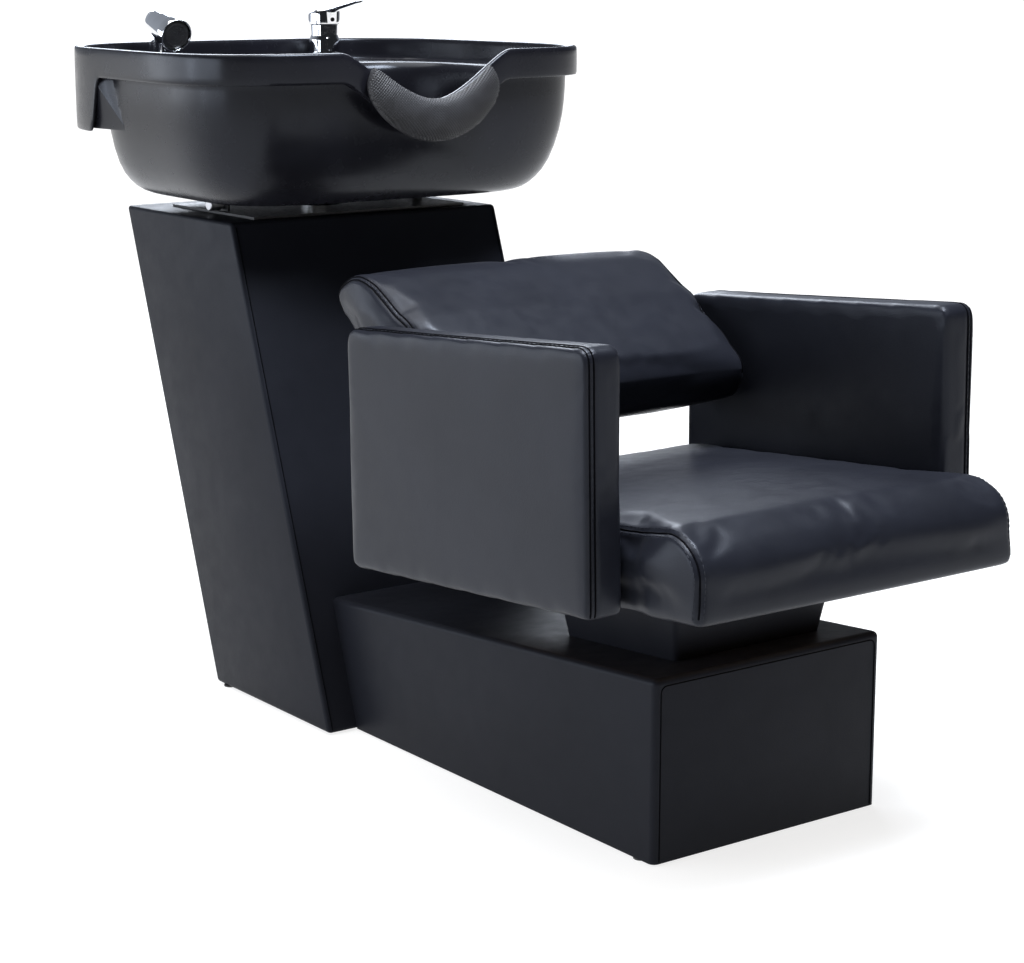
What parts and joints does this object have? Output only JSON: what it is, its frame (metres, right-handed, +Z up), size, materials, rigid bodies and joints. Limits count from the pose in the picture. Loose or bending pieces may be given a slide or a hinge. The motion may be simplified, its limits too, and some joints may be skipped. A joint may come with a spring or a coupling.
{
  "type": "shampoo backwash unit",
  "caption": "Salon backwash unit: a low plinth carries an armchair seat, and a leaning pedestal holds a tilting shampoo basin with neck notch, mixer tap and hand shower.",
  "frame": {"origin": "on the floor, under the middle of the unit's bounding box", "axes": "+Z up; the sitter faces -Y and the basin is at +Y; +X is to the sitter's left"},
  "size_m": [0.59, 1.29, 0.8751],
  "materials": {
    "leather": "soft black faux leather, fine grain",
    "plywood": "raw plywood",
    "covered_panel": "black faux leather stretched over board",
    "basin_plastic": "glossy black moulding",
    "chrome": "polished chrome",
    "zinc_steel": "zinc plated",
    "black_steel": "black powder coat",
    "gel_rubber": "matt black, fine pimpled texture",
    "dark_plastic": "matt black"
  },
  "bodies": {
    "base": {"arm_left_upholstery": "leather", "arm_right_upholstery": "leather", "seat_cushion": "leather", "backrest_cushion": "leather", "seat_riser": "leather", "arm_left_core": "plywood", "arm_right_core": "plywood", "backrest_board": "plywood", "seat_base_board": "plywood", "pedestal_left_cleat": "plywood", "pedestal_right_cleat": "plywood", "pedestal_floor_rail": "plywood", "plinth_back_board": "plywood", "pedestal_top_board": "plywood", "pedestal_front_panel": "covered_panel", "pedestal_left_side": "covered_panel", "pedestal_right_side": "covered_panel", "rear_access_panel": "covered_panel", "plinth_front_panel": "covered_panel", "plinth_left_side": "covered_panel", "plinth_right_side": "covered_panel", "plinth_top_board": "covered_panel", "access_screw_left": "zinc_steel", "access_screw_right": "zinc_steel", "arm_bolt_left_front": "zinc_steel", "arm_bolt_left_rear": "zinc_steel", "arm_bolt_right_front": "zinc_steel", "arm_bolt_right_rear": "zinc_steel", "backrest_stud_left": "zinc_steel", "backrest_stud_right": "zinc_steel", "joining_bolt_left": "zinc_steel", "joining_bolt_right": "zinc_steel", "tilt_hinge_pin_left": "zinc_steel", "tilt_hinge_pin_right": "zinc_steel", "arm_bracket_left": "black_steel", "arm_bracket_right": "black_steel", "tilt_bracket_lower": "black_steel", "glide_foot_front_left": "dark_plastic", "glide_foot_front_right": "dark_plastic", "glide_foot_rear_left": "dark_plastic", "glide_foot_rear_right": "dark_plastic"},
    "basin": {"basin": "basin_plastic", "neck_rest_pad": "gel_rubber", "drain_flange": "chrome", "drain_nut": "dark_plastic", "drain_tailpiece": "dark_plastic", "tilt_bracket_upper": "black_steel", "basin_bolt_left": "zinc_steel", "basin_bolt_right": "zinc_steel", "mixer_body": "chrome", "mixer_nut": "zinc_steel", "spray_holder": "chrome"},
    "hair_strainer": {"hair_strainer": "chrome"},
    "mixer_cartridge": {"mixer_cartridge": "dark_plastic"},
    "mixer_lever": {"mixer_lever": "chrome", "mixer_indicator": "dark_plastic"},
    "hand_shower": {"spray_handset": "chrome", "spray_face": "dark_plastic"},
    "tilt_lock_knob": {"tilt_lock_knob": "zinc_steel"}
  },
  "joints": [
    {"name": "basin_tilt", "type": "hinge", "parent": "base", "child": "basin", "pos_m": [0, 0.385, 0.6205], "axis": [1, 0, 0], "range_deg": [-8, 8]},
    {"name": "strainer_lift", "type": "slide", "parent": "basin", "child": "hair_strainer", "axis": [0, 0, 1], "range_m": [0, 0.08]},
    {"name": "mixer_temperature", "type": "hinge", "parent": "basin", "child": "mixer_cartridge", "pos_m": [0.132, 0.585, 0.8393], "axis": [0, 0, 1], "range_deg": [-45, 45]},
    {"name": "mixer_flow", "type": "hinge", "parent": "mixer_cartridge", "child": "mixer_lever", "pos_m": [0.132, 0.585, 0.8399], "axis": [-1, 0, 0], "range_deg": [0, 20]},
    {"name": "hand_shower_lift", "type": "slide", "parent": "basin", "child": "hand_shower", "axis": [0, 0, 1], "range_m": [0, 0.15]},
    {"name": "tilt_lock_turn", "type": "hinge", "parent": "base", "child": "tilt_lock_knob", "pos_m": [-0.1606, 0.385, 0.6205], "axis": [1, 0, 0], "range_deg": [-180, 180]}
  ]
}
